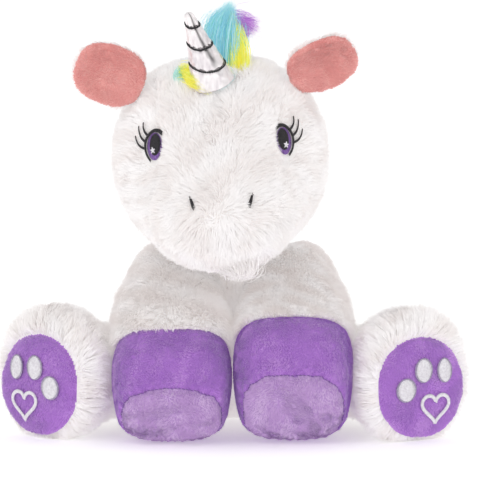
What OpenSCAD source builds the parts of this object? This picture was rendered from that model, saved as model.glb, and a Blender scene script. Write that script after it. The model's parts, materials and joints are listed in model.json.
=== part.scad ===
// Seated plush unicorn: sewn fabric panels over separate stuffings.
// It faces -Y, rests on z = 0, and +X is its own left side.

/* [Fabric] */
// Thickness of the long pile cover, backing and pressed pile together
cover_t = 3; // [2:0.5:4]
// Thickness of the short pile fabric on hooves, paw pads and ear linings
short_t = 1.8; // [1.2:0.2:2.4]
// Air between a cover and the stuffing inside it
slack = 0.6; // [0.4:0.1:1]

/* [Torso] */
// Half the torso's width
torso_rx = 57; // [53:1:60]
// Half the torso's depth
torso_ry = 46; // [42:1:48]
// Half the torso's height before the seat flattens it
torso_rz = 72; // [70:1:75]
// Height of the torso's widest level
torso_z = 62; // [58:1:64]
// How far behind the shoulders' middle the torso's centre is
torso_y = 40; // [38:1:44]

/* [Head] */
// Radius of the head's ball
head_r = 66; // [62:1:67]
// Height of the crown above the head's centre
crown_h = 69; // [66:1:72]
// Height of the head's centre
head_z = 182; // [181:1:188]
// How far the head is off centre towards its own right
head_off = 13; // [8:1:15]
// How far the head's centre is in front of the shoulders' middle
head_fwd = 24; // [22:1:28]
// Sideways tilt of the head
head_roll = 2.5; // [0:0.5:5]
// Half the muzzle's width, length and height
muzzle_half = [49, 50, 39]; // [30:1:55]
// Place of the muzzle's middle from the head's centre
muzzle_at = [0, -43, -27]; // [-60:1:60]

/* [Ears] */
// Length of an ear
ear_l = 50; // [40:1:50]
// Width of an ear
ear_w = 43; // [34:1:44]
// Thickness of an ear's long pile back
ear_t = 2.6; // [2:0.2:3]
// How far the ear's middle is hollowed
ear_dish = 4; // [2:0.5:5]

/* [Horn] */
// Length of the horn
horn_l = 49; // [44:1:56]
// Radius of the horn at its base
horn_r = 14; // [10:0.5:15]
// Radius of the horn's rounded tip
horn_tip_r = 3.5; // [2:0.5:4]
// Forward lean and sideways lean of the horn
horn_lean = [18, -16.5]; // [-25:0.5:25]

/* [Front legs] */
// Radius of the shoulder
shoulder_r = 31; // [28:1:32]
// Half the width of a hoof
hoof_half = 39.5; // [36:0.5:39.5]
// Depth of the sole's dome
sole_depth = 14; // [10:1:16]
// How much fuller the left hoof stands than the right one
hoof_raise = 6; // [0:1:7]

/* [Hind legs] */
// Radius of the hip
hip_r = 28; // [26:1:30]
// Distance from the hip to the rim of the paw pad
hind_l = 128; // [124:1:130]
// Outward turn of the right and the left hind leg
hind_turn = [-40, 30]; // [-44:1:44]
// Half the width and height of a paw pad
pad_half = [34, 34]; // [28:0.5:34]
// Depth of the pad's dome
pad_depth = 5; // [3:0.5:6]

/* [Hidden] */

LEFT = 1;
RIGHT = -1;
WHITE = [0.93, 0.92, 0.91];
PURPLE = [0.60, 0.40, 0.76];
LILAC = [0.69, 0.54, 0.77];
PINK = [0.88, 0.56, 0.55];
SILVER = [0.78, 0.76, 0.78];
BLUE = [0.50, 0.79, 0.85];
TEAL = [0.62, 0.86, 0.78];
YELLOW = [0.91, 0.89, 0.33];
VIOLET = [0.70, 0.44, 0.80];
STUFFING = [0.97, 0.97, 0.95];
THREAD = [0.10, 0.09, 0.11];

// ---- Solids from grids of points ----

function joined(rows) = [for (row = rows) for (p = row) p];
function turned(ring) = [for (i = [len(ring) - 1:-1:0]) ring[i]];
function flipped(faces) = [for (f = faces) [f[2], f[1], f[0]]];

// Triangles over rows m by columns n from point number first; loop closes the columns round.
function skin_faces(m, n, first, loop) = [
    for (i = [0:m - 2]) for (j = [0:n - (loop ? 1 : 2)])
        let (a = first + i * n, b = a + n, k = (j + 1) % n)
        each [[a + j, a + k, b + k], [a + j, b + k, b + j]]
];

// Triangles that close the gap between the same run of point numbers on two skins.
function rim_faces(run, jump) = [
    for (i = [0:len(run) - 2])
        each [
            [run[i], run[i + 1], run[i + 1] + jump],
            [run[i], run[i + 1] + jump, run[i] + jump]
        ]
];

// Panel: the solid between an outer and an inner grid.
module panel(outer, inner) {
    m = len(outer);
    n = len(outer[0]);
    jump = m * n;
    first_row = [for (j = [0:n - 1]) j];
    last_row = [for (j = [0:n - 1]) (m - 1) * n + j];
    first_col = [for (i = [0:m - 1]) i * n];
    last_col = [for (i = [0:m - 1]) i * n + n - 1];
    polyhedron(
        points = concat(joined(outer), joined(inner)),
        faces = concat(
            skin_faces(m, n, 0, false),
            flipped(skin_faces(m, n, jump, false)),
            flipped(rim_faces(first_row, jump)),
            rim_faces(last_row, jump),
            rim_faces(first_col, jump),
            flipped(rim_faces(last_col, jump))
        )
    );
}

// Band: a tube wall between an outer and an inner set of closed rings.
module band(outer, inner) {
    m = len(outer);
    n = len(outer[0]);
    jump = m * n;
    polyhedron(
        points = concat(joined(outer), joined(inner)),
        faces = concat(
            skin_faces(m, n, 0, true),
            flipped(skin_faces(m, n, jump, true)),
            flipped(rim_faces([for (j = [0:n]) j % n], jump)),
            rim_faces([for (j = [0:n]) (m - 1) * n + j % n], jump)
        )
    );
}

// Cup: as a band, with its first ring closed by a pole on each skin.
module cup(outer, inner, outer_pole, inner_pole) {
    m = len(outer);
    n = len(outer[0]);
    jump = m * n;
    polyhedron(
        points = concat(joined(outer), joined(inner), [outer_pole, inner_pole]),
        faces = concat(
            skin_faces(m, n, 0, true),
            flipped(skin_faces(m, n, jump, true)),
            rim_faces([for (j = [0:n]) (m - 1) * n + j % n], jump),
            [for (j = [0:n - 1]) [2 * jump, (j + 1) % n, j]],
            [for (j = [0:n - 1]) [2 * jump + 1, jump + j, jump + (j + 1) % n]]
        )
    );
}

// Pod: a closed solid of rings with a pole at each end.
module pod(rings, first_pole, last_pole) {
    m = len(rings);
    n = len(rings[0]);
    last = (m - 1) * n;
    polyhedron(
        points = concat(joined(rings), [first_pole, last_pole]),
        faces = concat(
            skin_faces(m, n, 0, true),
            [for (j = [0:n - 1]) [m * n, (j + 1) % n, j]],
            [for (j = [0:n - 1]) [m * n + 1, last + j, last + (j + 1) % n]]
        )
    );
}

// ---- Star-shaped skins round a centre, with their poles on the X axis ----

// Latitude runs towards +X; longitude 0 is the front, 90 the top, 180 the back, 270 below.
function heading(lat, lon) = [sin(lat), -cos(lat) * cos(lon), cos(lat) * sin(lon)];

// Distance from the origin along d to the far side of an ellipsoid at c with half axes s.
function far_side(c, s, d) =
    let (
        q = [for (i = [0:2]) d[i] / s[i]],
        o = [for (i = [0:2]) -c[i] / s[i]],
        a = q * q,
        b = q * o,
        under = b * b - a * (o * o - 1)
    )
    under < 0 ? 0 : max(0, (sqrt(under) - b) / a);

function soft_max(a, b, k) = let (h = max(k - abs(a - b), 0) / k) max(a, b) + h * h * k / 4;

// Distance along d at which a socket of radius r round c begins, rising steeply past its edge.
function socket_start(c, r, d) =
    let (along = c * d, off = sqrt(max(0, c * c - along * along)))
    along <= 0 ? 1000 : off < r ? along - sqrt(r * r - off * off) : along + 2 * (off - r);

function grid(skin, lats, lons, inset) = [for (a = lats) [for (b = lons) skin(a, b, inset)]];

SIDE_LAT = 34;
LON_STEP = 15;
function lons(from, to) = [for (a = [from:LON_STEP:to]) a];
ROUND = lons(0, 359);
MID_LATS = [for (i = [-3:3]) i * SIDE_LAT / 3];
CAP_LATS = [for (i = [0:4]) 81 - i * (81 - SIDE_LAT) / 4];

// Side panel: a cap round one pole, out to the side seam.
module side_panel(skin, side, t) {
    rings = function(inset) [
        for (a = CAP_LATS)
            let (ring = [for (b = ROUND) skin(side * a, b, inset)])
            side < 0 ? ring : turned(ring)
    ];
    cup(rings(0), rings(t), skin(side * 90, 0, 0), skin(side * 90, 0, t));
}

module strip_panel(skin, from, to, t)
    panel(grid(skin, MID_LATS, lons(from, to), 0), grid(skin, MID_LATS, lons(from, to), t));

module filling(skin, inset) {
    lats = concat([for (a = CAP_LATS) -a], [for (i = [-2:2]) i * SIDE_LAT / 3], turned(CAP_LATS));
    pod(grid(skin, lats, ROUND, inset), skin(-90, 0, inset), skin(90, 0, inset));
}

// Oval patch on a skin, from lift low to lift high above it; crown thins it towards its edge.
module skin_patch(skin, at, half, low, high, rings = 2, sides = 16, crown = 0) {
    oval = function(lift) [
        for (i = [1:rings])
            [for (j = [0:sides - 1])
                let (a = 360 * j / sides, k = i / rings, up = lift - (lift - low) * crown * k * k)
                skin(at[0] + half[0] * k * cos(a), at[1] + half[1] * k * sin(a), -up)]
    ];
    cup(oval(high), oval(low), skin(at[0], at[1], -high), skin(at[0], at[1], -low));
}

// Thread stitches on a skin along a line of [latitude, longitude] points, half_w degrees each side.
module skin_stitch(skin, line, half_w, low, high) {
    rows = function(lift) [
        for (e = [-1, 1])
            [for (i = [0:len(line) - 1])
                let (k = 1 - 0.6 * i / (len(line) - 1))
                skin(line[i][0] + e * half_w * k, line[i][1], -lift)]
    ];
    rising = line[len(line) - 1][1] > line[0][1];
    ordered = function(lift) rising ? rows(lift) : [for (row = rows(lift)) turned(row)];
    panel(ordered(high), ordered(low));
}

// ---- Rings along a limb ----

function power(v, e) = sign(v) * pow(abs(v), e);
function between(a, b, c, d, t) =
    0.5 * (2 * b + (c - a) * t + (2 * a - 5 * b + 4 * c - d) * t * t
        + (3 * b - a - 3 * c + d) * t * t * t);
function along(list, u) =
    let (n = len(list) - 1, i = min(floor(u), n - 1))
    between(list[max(i - 1, 0)], list[i], list[i + 1], list[min(i + 2, n)], u - i);

// A station is [x, y, z, turn, dip, half width, half height, squareness].
function ahead(st) = [sin(st[3]) * cos(st[4]), -cos(st[3]) * cos(st[4]), -sin(st[4])];
function spot(st) = [st[0], st[1], st[2]];
RING_SIDES = 24;
function ring(st, inset, ground) =
    let (
        out = [cos(st[3]), sin(st[3]), 0],
        down = cross(out, ahead(st)),
        e = 2 / st[7]
    )
    [for (j = [0:RING_SIDES - 1])
        let (
            a = 360 * j / RING_SIDES,
            p = spot(st) + out * (st[5] - inset) * power(cos(a), e)
                + down * (st[6] - inset) * power(sin(a), e)
        )
        [p[0], p[1], max(p[2], ground)]];
function moved(st, by, wide) = [
    st[0] + by[0], st[1] + by[1], st[2] + by[2], st[3], st[4], st[5] * wide, st[6] * wide, st[7]
];

// Rings from a limb's rounded root to station number last; each span has steps rings.
function limb_rings(sts, last, steps, inset) = concat(
    [for (a = [22:17:73])
        let (r = sts[0][5] - inset)
        ring(moved(sts[0], -ahead(sts[0]) * r * cos(a), sin(a)), inset * sin(a), inset)],
    [for (i = [0:last * steps]) ring(along(sts, i / steps), inset, inset)]
);
function root_pole(sts, inset) = spot(sts[0]) - ahead(sts[0]) * (sts[0][5] - inset);
function mid_rings(sts, from, to, steps, inset) =
    [for (i = [from * steps:to * steps]) ring(along(sts, i / steps), inset, inset)];

// Rings of a limb's rounded end, from near its pole back to the last station.
function end_rings(sts, depth, inset) =
    let (st = sts[len(sts) - 1])
    [for (a = [68:-17:0])
        turned(ring(moved(st, ahead(st) * (depth - inset) * sin(a), pow(cos(a), 0.7)), inset, inset))];
function end_pole(sts, depth, inset) =
    let (st = sts[len(sts) - 1], p = spot(st) + ahead(st) * (depth - inset))
    [p[0], p[1], max(p[2], inset)];

module limb_filling(sts, depth, steps, inset) {
    closing = end_rings(sts, depth, inset);
    ends = [for (i = [len(closing) - 2:-1:0]) turned(closing[i])];
    pod(
        concat(limb_rings(sts, len(sts) - 1, steps, inset), ends),
        root_pole(sts, inset),
        end_pole(sts, depth, inset)
    );
}

// ---- Front legs: stations from the shoulder to the rim of the sole ----

HOOVES_MID = -5;
SHOULDER = [35.5, 8, 90];
function front_stations(side) = [
    let (up = side > 0 ? hoof_raise : 0)
    for (st = [
        [SHOULDER[0], SHOULDER[1], SHOULDER[2], 0, 34, shoulder_r, shoulder_r, 2],
        [38.5, -22, 77, 0, 40, 33.5, 32.5, 2.2],
        [40.5, -46, 70, 0, 52, 37.5, 34, 2.6],
        [40.5, -60, 55 + up, 0, 56 - 0.8 * up, hoof_half - 1, 36 + 0.4 * up, 2.9],
        [40.5, -75, 40 + up, 0, 48 - 0.8 * up, hoof_half, 36 + 0.6 * up, 3.1],
        [40.5, -90, 24 + 0.8 * up, 0, 40 - 0.8 * up, hoof_half - 3, 29 + 0.8 * up, 2.9]
    ])
        [HOOVES_MID + side * st[0], st[1], st[2], st[3], st[4], st[5], st[6], st[7]]
];
SLEEVE_END = 3;

// ---- Hind legs: stations from the hip to the rim of the paw pad ----

function hip(side) = side < 0 ? [-53.5, 35, 34] : [58, 35, 34];
function turn(side) = side < 0 ? hind_turn[0] : hind_turn[1];
function hind_stations(side) = [
    for (st = [
        [0, 0, hip_r, hip_r, 2],
        [40, 2, 25, 28, 2],
        [76, 6, 26.5, 33, 2],
        [93, 8.5, 34, 40, 2.1],
        [106, 9, 38, 43.5, 2.2],
        [118, 8, 38.5, 43, 2.2],
        [hind_l, 0.5, pad_half[0], pad_half[1], 2]
    ])
        let (p = hip(side), a = turn(side))
        [p[0] + st[0] * sin(a), p[1] - st[0] * cos(a), p[2] + st[1], a, 0, st[2], st[3], st[4]]
];

// ---- Torso and head skins ----

HEAD = [-head_off, -head_fwd, head_z];
TORSO = [0, torso_y, torso_z];
SOCKET_GAP = 2.6;
NECK_T = 2.4;
NECK_GAP = 0.8;
SOCKETS = concat(
    [for (s = [LEFT, RIGHT]) for (u = [0, 0.5, 1])
        [spot(along(front_stations(s), u)) - TORSO, shoulder_r + SOCKET_GAP * (1 + u)]],
    [for (s = [LEFT, RIGHT]) [hip(s) - TORSO, hip_r + SOCKET_GAP]],
    [[HEAD - TORSO, head_r + NECK_T + 2 * NECK_GAP]]
);
torso_skin = function(lat, lon, inset)
    let (
        d = heading(lat, lon),
        egg = far_side([0, 0, 0], [torso_rx, torso_ry, torso_rz] - [1, 1, 1] * inset, d),
        pressed = d[2] < 0 ? (inset - torso_z) / d[2] : 1000,
        clear = min([for (s = SOCKETS) socket_start(s[0], s[1] + inset, d)])
    )
    TORSO + d * min(egg, pressed, clear);

// Above its middle the head's ball turns into a crown that is squarer from side to side.
CROWN_POWER = 3;
function crown(d, half) =
    1 / sqrt(
        pow(pow(abs(d[0]) / half[0], CROWN_POWER) + pow(d[2] / half[2], CROWN_POWER), 2 / CROWN_POWER)
        + pow(d[1] / half[1], 2)
    );

MUZZLE_BLEND = 16;
head_skin = function(lat, lon, inset)
    let (
        d = heading(lat, lon),
        one = [1, 1, 1] * inset,
        ball = d[2] > 0 ? crown(d, [head_r, head_r, crown_h] - one) : head_r - inset,
        muzzle = far_side(muzzle_at, muzzle_half - one, d)
    )
    d * soft_max(ball, muzzle, MUZZLE_BLEND);

// ---- Where the model sits: its box is centred on the origin ----

HIND_POINTS = [for (s = [LEFT, RIGHT]) each joined(limb_rings(hind_stations(s), 6, 1, 0))];
FRONT_POINTS = joined([for (s = [LEFT, RIGHT]) each end_rings(front_stations(s), sole_depth, 0)]);
MUZZLE_TIP = HEAD[1] + muzzle_at[1] - muzzle_half[1];
TAIL_BACK = 113;
mid_x = (min([for (p = HIND_POINTS) p[0]]) + max([for (p = HIND_POINTS) p[0]])) / 2;
front_y = min(MUZZLE_TIP, min([for (p = FRONT_POINTS) p[1]]));
mid_y = (front_y + TAIL_BACK) / 2;

module seated() translate([-mid_x, -mid_y, 0]) children();
module on_head() seated() translate(HEAD) rotate([0, -head_roll, 0]) children();

// ---- Torso ----

module body_side(side) color(WHITE) seated() side_panel(torso_skin, side, cover_t);
module belly_panel() color(WHITE) seated() strip_panel(torso_skin, -30, 90, cover_t);
module back_panel() color(WHITE) seated() strip_panel(torso_skin, 90, 225, cover_t);
module seat_panel() color(WHITE) seated() strip_panel(torso_skin, 225, 330, cover_t);

BAG_LOW = cover_t + 2.5;
BAG_TOP = 25;
raised_skin = function(lat, lon, inset)
    let (p = torso_skin(lat, lon, inset) - TORSO, low = BAG_TOP + slack - torso_z)
    TORSO + (p[2] < low ? p * low / p[2] : p);
module body_stuffing() color(STUFFING) seated() filling(raised_skin, cover_t + slack);

BAG_R = 16.5;
module bean_bag()
    color([0.85, 0.82, 0.72]) seated() translate([0, torso_y, (BAG_LOW + BAG_TOP) / 2]) {
        half = (BAG_TOP - BAG_LOW) / 2;
        rotate_extrude($fn = 48)
            union() {
                translate([0, -half]) square([BAG_R - half, 2 * half]);
                intersection() {
                    translate([BAG_R - half, 0]) circle(half);
                    translate([0, -half]) square([BAG_R, 2 * half]);
                }
            }
    }

// Lens of stuffing in the neck opening, concentric with the head so that the head rolls on it.
NECK_HEADING = (TORSO - HEAD) / norm(TORSO - HEAD);
module neck_stuffing() {
    low = head_r + NECK_GAP;
    up = cross(NECK_HEADING, [1, 0, 0]);
    right = cross(up, NECK_HEADING);
    lens = function(r) [
        for (i = [1:3])
            [for (j = [0:23])
                let (a = 15 * j, w = 7 * i)
                HEAD + r * (NECK_HEADING * cos(w) + (right * cos(a) - up * sin(a)) * sin(w))]
    ];
    color(STUFFING) seated()
        cup(
            lens(low + NECK_T), lens(low),
            HEAD + NECK_HEADING * (low + NECK_T), HEAD + NECK_HEADING * low
        );
}

// ---- Head ----

module head_side(side) color(WHITE) on_head() side_panel(head_skin, side, cover_t);
module head_centre_panel() color(WHITE) on_head() strip_panel(head_skin, -105, 120, cover_t);
module head_back_panel() color(WHITE) on_head() strip_panel(head_skin, 120, 255, cover_t);
module head_stuffing() color(STUFFING) on_head() filling(head_skin, cover_t + slack);

// Embroidery lies this far above the cover, up to this height.
STITCH_LOW = 0.8;
STITCH_HIGH = 1.7;
EYE_AT = [41.5, 21];
EYE_HALF = [7, 12];
module eye(side)
    color([0.45, 0.28, 0.60]) on_head()
        skin_patch(head_skin, [side * EYE_AT[0], EYE_AT[1]], [EYE_HALF[0], EYE_HALF[1]],
            STITCH_LOW, STITCH_HIGH);

// Three lashes fan out from the upper outer rim of an eye.
module lashes(side)
    color(THREAD) on_head()
        for (k = [0:2]) {
            rim = 12 + 34 * k;
            start = EYE_AT + [EYE_HALF[0] * cos(rim), EYE_HALF[1] * sin(rim)] * 1.12;
            tip = start + [6 - k, 9 + 3 * k];
            bend = (start + tip) / 2 + [1.2, -1];
            skin_stitch(head_skin,
                [for (p = [start, bend, tip]) [side * p[0], p[1]]], 0.8, STITCH_LOW, STITCH_HIGH);
        }

NOSTRIL_AT = [12.5, -9.5];
module nostril(side)
    color(THREAD) on_head()
        skin_patch(head_skin, [side * NOSTRIL_AT[0], NOSTRIL_AT[1]], [1.3, 3.2],
            STITCH_LOW, STITCH_HIGH, 1, 8);

// ---- Ears ----

EAR_ROOT = [48, -27, 55.5];
EAR_RISE = 23;
function ear_twist(side) = side < 0 ? -8 : 32;
// Disc of the ear's outline between two depths from its middle surface.
module ear_leaf(side, size, low, high) {
    leaf = function(depth) [
        for (i = [1:3])
            [for (j = [0:23])
                let (a = 15 * j, k = i / 3, dish = ear_dish * (1 - k * k))
                [
                    ear_l / 2 + size * ear_l / 2 * k * power(cos(a), 0.8),
                    size * ear_w / 2 * k * power(sin(a), 0.8),
                    depth - dish
                ]]
    ];
    on_head() translate([side * EAR_ROOT[0], EAR_ROOT[1], EAR_ROOT[2]])
        rotate([0, side < 0 ? 180 + EAR_RISE : -EAR_RISE, 0])
        rotate([90 + ear_twist(side), 0, 0])
        cup(
            leaf(high), leaf(low),
            [ear_l / 2, 0, high - ear_dish], [ear_l / 2, 0, low - ear_dish]
        );
}
module ear_back(side) color(WHITE) ear_leaf(side, 1, -ear_t - 0.3, -0.3);
module ear_lining(side) color(PINK) ear_leaf(side, 0.93, 0, short_t);

// ---- Horn ----

HORN_HEADING = heading(-3, 59.5);
HORN_STAND = head_r + 7.5;
horn_t = 1;
module on_horn()
    on_head() translate(HORN_HEADING * HORN_STAND) rotate([horn_lean[0], horn_lean[1], 0]) children();
HORN_TIP_Z = horn_l - horn_tip_r;
// Outline of the cone with a rounded tip, drawn in by t.
module horn_outline(t, foot) {
    intersection() {
        union() {
            polygon([[0, foot], [horn_r - t, foot], [horn_tip_r - t, HORN_TIP_Z], [0, HORN_TIP_Z]]);
            translate([0, HORN_TIP_Z]) circle(horn_tip_r - t, $fn = 32);
        }
        translate([0, foot]) square([horn_r, horn_l]);
    }
}
module horn_cover()
    color(SILVER) on_horn()
        rotate_extrude($fn = 48)
            difference() {
                horn_outline(0, 0);
                horn_outline(horn_t, -1);
            }
module horn_stuffing() color(STUFFING) on_horn() rotate_extrude($fn = 48) horn_outline(horn_t + 0.4, 0.4);
RING_Z = [8.5, 24, 39];
THREAD_R = 0.7;
module horn_thread_rings()
    color(THREAD) on_horn()
        for (z = RING_Z) {
            r = horn_r + (horn_tip_r - horn_r) * z / HORN_TIP_Z + THREAD_R + 0.1;
            translate([0, 0, z]) rotate_extrude($fn = 48) translate([r, 0]) circle(THREAD_R, $fn = 16);
        }

// ---- Mane and tail: tapered bundles of long fibre ----

// A tuft's stations are [x, y, z, half width, half depth], from the root up.
TUFT_SIDES = 12;
function tuft_ring(s) = [for (j = [0:TUFT_SIDES - 1])
    let (a = 360 * j / TUFT_SIDES)
    [s[0] + s[3] * cos(a), s[1] - s[4] * sin(a), s[2]]];
module tuft(sts, steps = 2) {
    n = len(sts) - 1;
    rings = [for (i = [0:n * steps]) tuft_ring(along(sts, i / steps))];
    rising = sts[n][2] > sts[0][2];
    pod(
        rising ? [for (r = rings) turned(r)] : rings,
        [sts[0][0], sts[0][1], sts[0][2]],
        [sts[n][0], sts[n][1], sts[n][2] + (rising ? 1.5 : -1.5)]
    );
}
module mane_blue()
    color(BLUE) on_head()
        tuft([[4, -11, 70, 7, 5], [3, -8, 80, 10, 6.5], [6, -3, 96, 8, 5], [11, 1, 105, 2.5, 2]]);
module mane_yellow()
    color(YELLOW) on_head()
        tuft([[19, -11, 69.5, 4, 4], [19, -9, 78, 5, 4.5], [18.5, -6, 90, 3.2, 3], [18, -5, 95, 1.2, 1.2]]);
module mane_purple()
    color(VIOLET) on_head()
        tuft([[18, 4, 70, 5, 5], [19, 5, 80, 6, 5], [24, 6, 92, 5.5, 4.5], [31, 6, 97, 2, 2]]);
module forelock_yellow()
    color(YELLOW) on_head() skin_patch(head_skin, [-19, 50], [3.6, 12], 0.5, 6, 3, 12, 0.7);
module forelock_teal()
    color(TEAL) on_head() skin_patch(head_skin, [-25.5, 59], [3, 9], 0.5, 5.5, 3, 12, 0.7);

// Tufts down the nape, each on its own stretch of the back seam.
module nape_tuft(lon, shade)
    color(shade) on_head() skin_patch(head_skin, [0, lon], [8, 11], 0.5, 12, 3, 16, 0.85);

TAIL_ROOT = [0, 89, 62];
module tail_lock(off, shade)
    color(shade) seated()
        tuft([
            [off * 0.7, TAIL_ROOT[1] + 2, TAIL_ROOT[2], 2.8, 3.6],
            [off, TAIL_ROOT[1] + 8, TAIL_ROOT[2] - 16, 4.4, 6],
            [off, TAIL_ROOT[1] + 14, TAIL_ROOT[2] - 36, 4.4, 7],
            [off * 0.9, TAIL_BACK - 4, TAIL_ROOT[2] - 53, 2.4, 4]
        ]);

// ---- Front legs ----

module front_sleeve(side) {
    sts = front_stations(side);
    color(WHITE) seated()
        cup(
            limb_rings(sts, SLEEVE_END, 2, 0), limb_rings(sts, SLEEVE_END, 2, cover_t),
            root_pole(sts, 0), root_pole(sts, cover_t)
        );
}
module hoof_upper(side) {
    sts = front_stations(side);
    color(PURPLE) seated()
        band(mid_rings(sts, SLEEVE_END, 5, 2, 0), mid_rings(sts, SLEEVE_END, 5, 2, cover_t));
}
module hoof_sole(side) {
    sts = front_stations(side);
    color(LILAC) seated()
        cup(
            end_rings(sts, sole_depth, 0), end_rings(sts, sole_depth, cover_t),
            end_pole(sts, sole_depth, 0), end_pole(sts, sole_depth, cover_t)
        );
}
module front_stuffing(side)
    color(STUFFING) seated() limb_filling(front_stations(side), sole_depth, 2, cover_t + slack);

// ---- Hind legs ----

module hind_sleeve(side) {
    sts = hind_stations(side);
    color(WHITE) seated()
        cup(
            limb_rings(sts, 6, 2, 0), limb_rings(sts, 6, 2, cover_t),
            root_pole(sts, 0), root_pole(sts, cover_t)
        );
}
module paw_pad(side) {
    sts = hind_stations(side);
    color(PURPLE) seated()
        cup(
            end_rings(sts, pad_depth, 0), end_rings(sts, pad_depth, cover_t),
            end_pole(sts, pad_depth, 0), end_pole(sts, pad_depth, cover_t)
        );
}
module hind_stuffing(side)
    color(STUFFING) seated() limb_filling(hind_stations(side), pad_depth, 2, cover_t + slack);

// Three toe ovals and a heart outline are stitched on the pad, a little proud of its face.
// Toes are [across, up, half width, half height, lean], seen from in front of the pad.
TOES = [[-15, 2, 7.2, 7.8, 14], [-1.5, 14.5, 6.6, 8, 8], [15, 13.5, 5.8, 8, 0]];
HEART_AT = [7.5, -12];
HEART_R = 5.6;
EMBROIDERY_T = 1;
module heart_outline() {
    // Two lobes and a point, drawn as a closed line of width 2.
    difference() {
        heart_shape(HEART_R + 1);
        heart_shape(HEART_R - 1);
    }
}
module heart_shape(r) {
    for (s = [-1, 1])
        translate([s * HEART_R * 0.85, HEART_R * 0.6]) circle(r, $fn = 32);
    polygon([
        [-HEART_R * 0.85 - r * 0.8, HEART_R * 0.6 - r * 0.6], [0, HEART_R * 0.2 - r * 2.2],
        [HEART_R * 0.85 + r * 0.8, HEART_R * 0.6 - r * 0.6], [0, HEART_R]
    ]);
}
module pad_embroidery(side) {
    st = hind_stations(side)[6];
    color([0.92, 0.91, 0.93]) seated()
        translate(spot(st) + ahead(st) * (pad_depth + 0.2)) rotate([90, 0, st[3]]) {
            for (toe = TOES)
                translate([side * toe[0], toe[1], 0]) rotate([0, 0, -side * toe[4]])
                    linear_extrude(EMBROIDERY_T) scale([1, toe[3] / toe[2]]) circle(toe[2], $fn = 32);
            translate([side * HEART_AT[0], HEART_AT[1], 0]) linear_extrude(EMBROIDERY_T) heart_outline();
        }
}

body_side(LEFT);  // body_side_left
body_side(RIGHT);  // body_side_right
belly_panel();
back_panel();
seat_panel();
body_stuffing();
bean_bag();
neck_stuffing();
head_side(LEFT);  // head_side_left
head_side(RIGHT);  // head_side_right
head_centre_panel();
head_back_panel();
head_stuffing();
eye(LEFT);  // eye_left
eye(RIGHT);  // eye_right
lashes(LEFT);  // lashes_left
lashes(RIGHT);  // lashes_right
nostril(LEFT);  // nostril_left
nostril(RIGHT);  // nostril_right
ear_back(LEFT);  // ear_back_left
ear_back(RIGHT);  // ear_back_right
ear_lining(LEFT);  // ear_lining_left
ear_lining(RIGHT);  // ear_lining_right
horn_cover();
horn_thread_rings();
horn_stuffing();
mane_blue();
mane_yellow();
mane_purple();
forelock_yellow();
forelock_teal();
nape_tuft(113, TEAL);  // nape_teal
nape_tuft(136, YELLOW);  // nape_yellow
nape_tuft(159, BLUE);  // nape_blue
front_sleeve(LEFT);  // front_sleeve_left
front_sleeve(RIGHT);  // front_sleeve_right
hoof_upper(LEFT);  // hoof_upper_left
hoof_upper(RIGHT);  // hoof_upper_right
hoof_sole(LEFT);  // hoof_sole_left
hoof_sole(RIGHT);  // hoof_sole_right
front_stuffing(LEFT);  // front_stuffing_left
front_stuffing(RIGHT);  // front_stuffing_right
hind_sleeve(LEFT);  // hind_sleeve_left
hind_sleeve(RIGHT);  // hind_sleeve_right
paw_pad(LEFT);  // paw_pad_left
paw_pad(RIGHT);  // paw_pad_right
pad_embroidery(LEFT);  // pad_embroidery_left
pad_embroidery(RIGHT);  // pad_embroidery_right
hind_stuffing(LEFT);  // hind_stuffing_left
hind_stuffing(RIGHT);  // hind_stuffing_right
tail_lock(-9.4, BLUE);  // tail_blue
tail_lock(0, YELLOW);  // tail_yellow
tail_lock(9.4, VIOLET);  // tail_purple
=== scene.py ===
"""Plush unicorn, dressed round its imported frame: puffed covers, pile, embroidery, horn and mane."""

import json
import math
from collections import namedtuple

import bmesh
import bpy
import numpy as np
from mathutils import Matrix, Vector
from mathutils.bvhtree import BVHTree
from mathutils.kdtree import KDTree


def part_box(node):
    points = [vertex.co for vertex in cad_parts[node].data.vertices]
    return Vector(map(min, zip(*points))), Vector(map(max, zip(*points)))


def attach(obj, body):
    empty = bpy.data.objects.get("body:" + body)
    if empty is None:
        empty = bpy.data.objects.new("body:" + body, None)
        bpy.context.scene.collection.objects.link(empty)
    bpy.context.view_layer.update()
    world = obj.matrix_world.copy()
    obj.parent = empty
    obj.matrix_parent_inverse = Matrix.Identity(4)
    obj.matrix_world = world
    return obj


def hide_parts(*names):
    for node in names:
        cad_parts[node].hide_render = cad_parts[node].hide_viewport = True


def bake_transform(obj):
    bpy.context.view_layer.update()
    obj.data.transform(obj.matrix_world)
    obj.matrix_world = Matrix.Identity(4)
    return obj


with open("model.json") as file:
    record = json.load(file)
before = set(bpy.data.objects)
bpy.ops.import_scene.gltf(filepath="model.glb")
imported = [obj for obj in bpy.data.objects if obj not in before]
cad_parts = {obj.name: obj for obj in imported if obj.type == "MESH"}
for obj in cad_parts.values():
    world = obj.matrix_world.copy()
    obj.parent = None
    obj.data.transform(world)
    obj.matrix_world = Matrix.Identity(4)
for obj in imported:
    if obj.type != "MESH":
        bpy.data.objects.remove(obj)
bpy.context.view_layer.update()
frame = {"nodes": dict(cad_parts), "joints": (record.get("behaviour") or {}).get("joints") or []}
NODES = frame["nodes"]
JOINTS = {joint["name"]: joint for joint in frame["joints"]}
SCENE = bpy.context.scene

SIDES = {"left": 1, "right": -1}
MM = 0.001
TURN = 2 * math.pi
UP = np.array([0.0, 0.0, 1.0])
FLOOR_GAP = 0.0004
# The most blades that one piece of pile may have.
MAX_BLADES = 66000


# ---- Small helpers ----


def unit(v):
    """Each vector of an array, at length one."""
    return v / np.maximum(np.linalg.norm(v, axis=-1, keepdims=True), 1e-12)


def middle(node):
    low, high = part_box(node)
    return np.array((low + high) / 2)


def pivot(joint):
    return np.array(JOINTS[joint]["pos_m"])


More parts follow.
